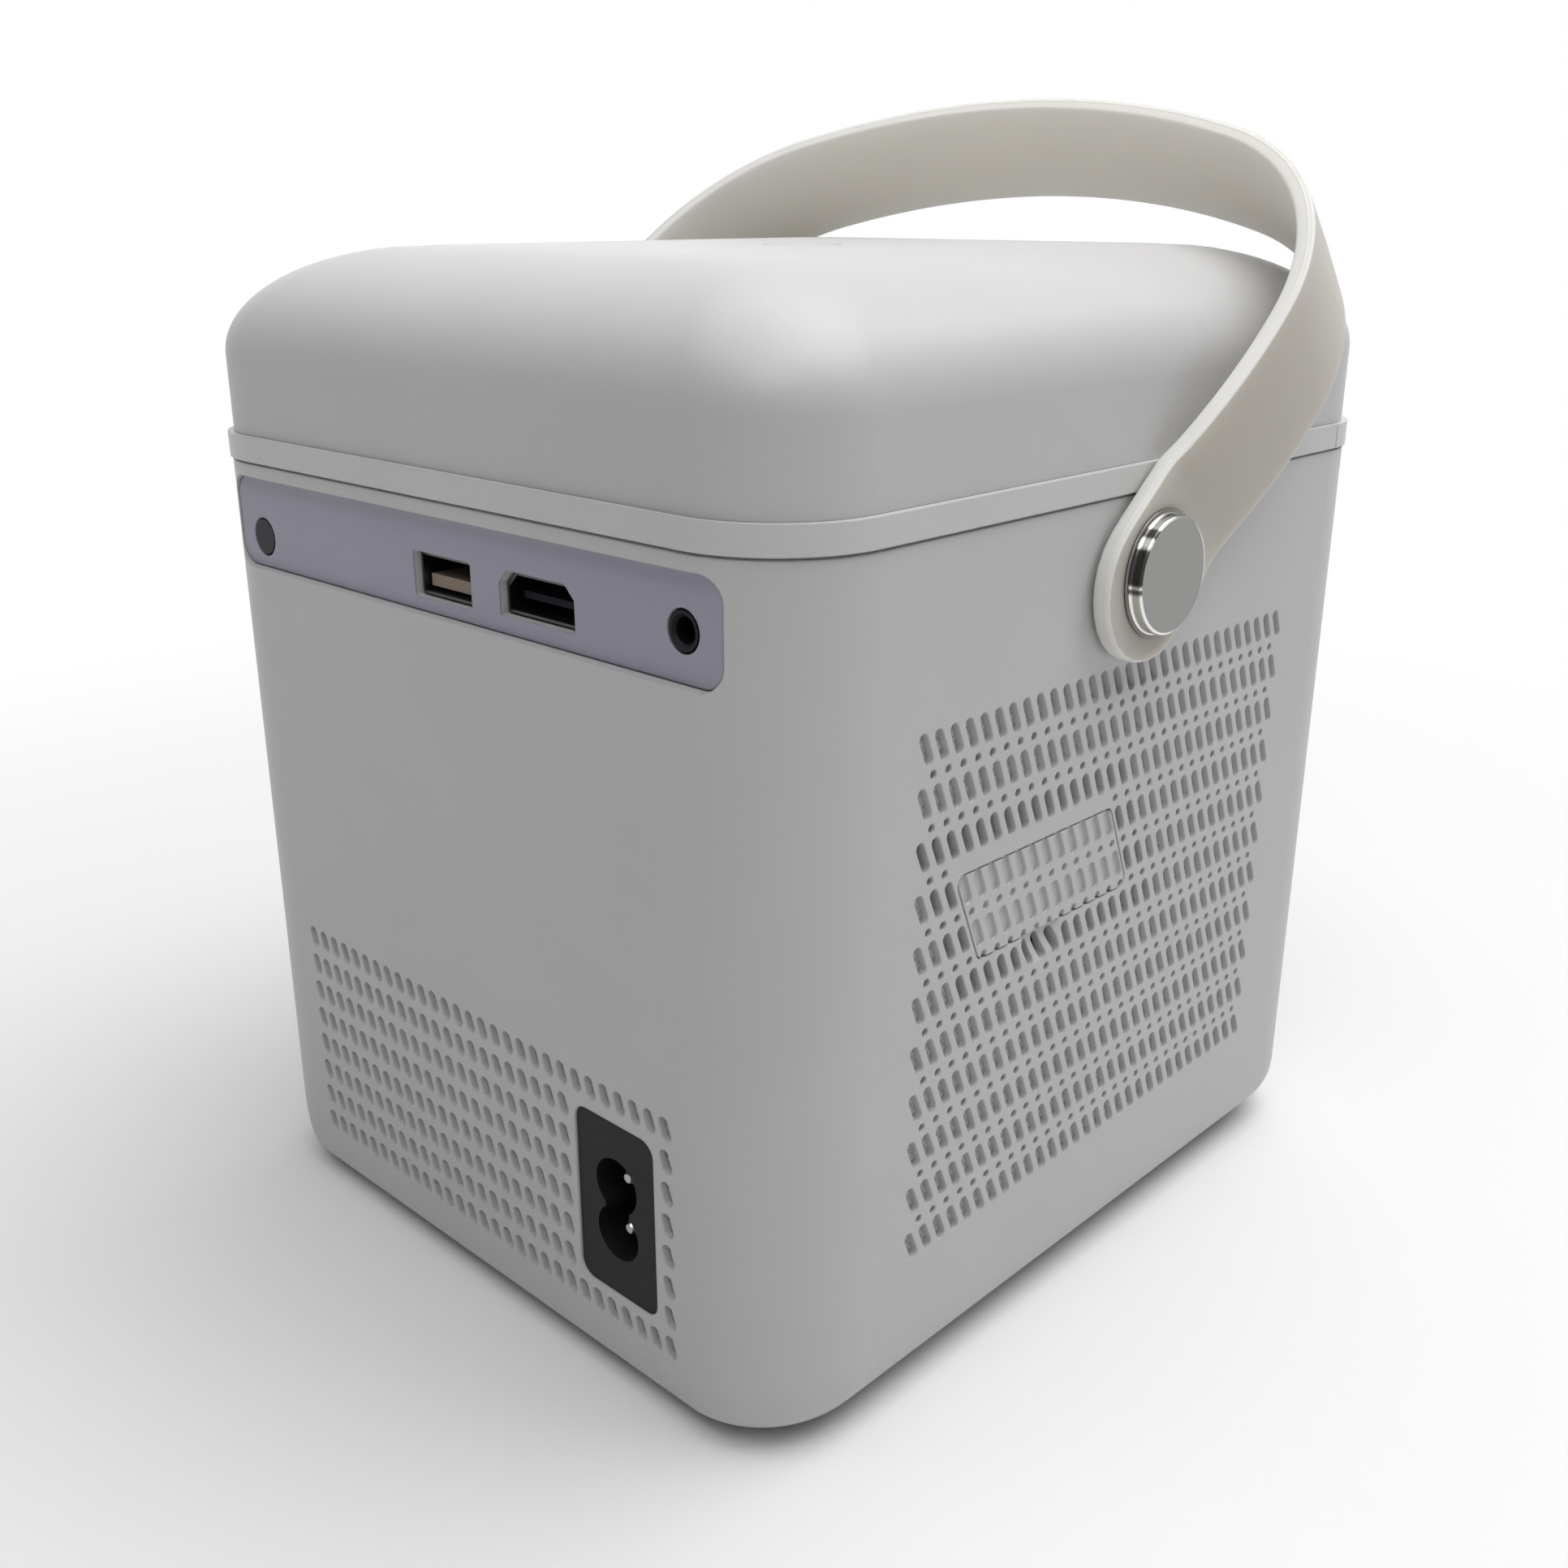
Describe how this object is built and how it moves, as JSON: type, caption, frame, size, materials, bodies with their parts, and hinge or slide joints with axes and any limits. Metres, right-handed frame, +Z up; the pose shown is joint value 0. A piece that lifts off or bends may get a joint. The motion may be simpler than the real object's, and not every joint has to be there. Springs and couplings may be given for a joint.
{
  "type": "projector with built-in disc player",
  "caption": "Small upright projector with a strap handle, slitted vents, rear sockets and a slot-loading disc drive under a round-shouldered top.",
  "frame": {"origin": "on the table under the middle of the casing", "axes": "+Z up, lens towards -Y, sockets towards +Y, intake cover on the -X side"},
  "size_m": [0.1496, 0.1498, 0.1863],
  "materials": {
    "shell": "light warm grey, fine satin texture",
    "band": "off-white, smooth satin",
    "panel": "lilac grey, fine texture",
    "dark_plastic": "black, satin",
    "gloss_black": "black, polished",
    "strap": "cream soft-touch rubber, smooth, with a fine mould line along each edge",
    "cap": "polished rim, satin face",
    "steel": "brushed",
    "zinc": "zinc-plated sheet",
    "aluminium": "plain extruded",
    "brass": "plain",
    "rubber": "pale grey, matt",
    "black_rubber": "black, matt",
    "cloth": "light grey woven acoustic cloth",
    "felt": "black felt",
    "foam": "open dark foam",
    "glass": "coated lens glass",
    "board": "green solder mask",
    "cone": "pressed paper cone",
    "white_plastic": "white nylon"
  },
  "bodies": {
    "casing": {"main_housing": "shell", "side_grilles": "shell", "rear_grille": "shell", "bottom_cover": "shell", "rubber_feet": "rubber", "cover_screws": "steel", "trim_band": "band", "slot_bezel": "band", "slot_felt": "felt", "top_shell": "shell", "front_fascia": "gloss_black", "port_panel": "panel", "socket_shells": "steel", "socket_tongues": "white_plastic", "headphone_socket": "dark_plastic", "ir_receiver": "gloss_black", "mains_inlet": "dark_plastic", "inlet_pins": "steel", "grille_cloths": "cloth", "speaker_frames": "zinc", "speaker_cones": "cone", "pivot_bushes": "white_plastic", "button_board": "board", "small_screws": "steel", "lens_barrel": "dark_plastic", "engine_case": "dark_plastic", "led_board": "board", "led_heatsink": "aluminium", "engine_lenses": "glass", "lcd_panel": "glass", "fan_frame": "dark_plastic", "base_tray": "zinc", "power_board": "board", "main_board": "board", "drive_chassis": "zinc", "guide_rods": "steel", "clamp_bridge": "zinc", "spindle_motor": "steel", "feed_motor": "steel", "roller_brackets": "zinc", "loading_motor": "steel"},
    "handle": {"strap_handle": "strap", "handle_caps": "cap", "pivot_pins": "steel"},
    "button": {"power_button": "shell"},
    "ring": {"focus_ring": "dark_plastic"},
    "cell": {"lens_cell": "dark_plastic", "lens_elements": "glass"},
    "intake_cover": {"filter_cover": "shell", "dust_filter": "foam"},
    "rotor": {"fan_rotor": "dark_plastic"},
    "table": {"turntable": "dark_plastic"},
    "carrier": {"clamp_carrier": "white_plastic"},
    "puck": {"clamp_puck": "dark_plastic"},
    "pickup": {"pickup_sled": "dark_plastic"},
    "screw": {"feed_screw": "steel"},
    "roller": {"roller_shaft": "steel", "loading_roller": "black_rubber"},
    "idler": {"idler_gear": "white_plastic"},
    "pinion": {"motor_pinion": "brass"}
  },
  "joints": [
    {"name": "handle_swing", "type": "hinge", "parent": "casing", "child": "handle", "pos_m": [0, 0, 0.11835], "axis": [1, 0, 0], "range_deg": [-95, 1]},
    {"name": "button_press", "type": "slide", "parent": "casing", "child": "button", "axis": [0, 0, 1], "range_m": [-0.0008, 0], "stiffness_N_per_m": 800, "springref_m": 0.0005},
    {"name": "focus_turn", "type": "hinge", "parent": "casing", "child": "ring", "pos_m": [0, -0.07, 0.072], "axis": [0, 1, 0], "range_deg": [-82, 82]},
    {"name": "cell_slide", "type": "slide", "parent": "casing", "child": "cell", "axis": [0, 1, 0], "range_m": [-0.0028, 0.0028]},
    {"name": "cover_pull", "type": "slide", "parent": "casing", "child": "intake_cover", "axis": [-1, 0, 0], "range_m": [0, 0.05]},
    {"name": "fan_spin", "type": "hinge", "parent": "casing", "child": "rotor", "pos_m": [0.02, 0.068, 0.031], "axis": [0, 1, 0], "continuous": true},
    {"name": "table_spin", "type": "hinge", "parent": "casing", "child": "table", "pos_m": [0, 0, 0.1285], "axis": [0, 0, 1], "continuous": true},
    {"name": "clamp_lower", "type": "slide", "parent": "casing", "child": "carrier", "axis": [0, 0, 1], "range_m": [-0.0024, 0]},
    {"name": "puck_spin", "type": "hinge", "parent": "carrier", "child": "puck", "pos_m": [0, 0, 0.134], "axis": [0, 0, 1], "continuous": true},
    {"name": "pickup_travel", "type": "slide", "parent": "casing", "child": "pickup", "axis": [0, 1, 0], "range_m": [0, 0.033]},
    {"name": "screw_turn", "type": "hinge", "parent": "casing", "child": "screw", "pos_m": [0.0245, 0.04, 0.126], "axis": [0, 1, 0], "range_deg": [-10, 1990]},
    {"name": "roller_turn", "type": "hinge", "parent": "casing", "child": "roller", "pos_m": [0, -0.0655, 0.128], "axis": [1, 0, 0], "continuous": true},
    {"name": "idler_turn", "type": "hinge", "parent": "casing", "child": "idler", "pos_m": [0.0569, -0.0603, 0.1241], "axis": [1, 0, 0], "continuous": true},
    {"name": "pinion_turn", "type": "hinge", "parent": "casing", "child": "pinion", "pos_m": [0.0569, -0.0543, 0.1241], "axis": [1, 0, 0], "continuous": true}
  ],
  "couplings": [
    {"joint": "focus_turn", "follows": "cell_slide", "rad_per_m": 494.51},
    {"joint": "screw_turn", "follows": "pickup_travel", "rad_per_m": 1047.2},
    {"joint": "puck_spin", "follows": "table_spin", "ratio": 1},
    {"joint": "idler_turn", "follows": "roller_turn", "ratio": -0.625},
    {"joint": "pinion_turn", "follows": "roller_turn", "ratio": 1.25}
  ]
}
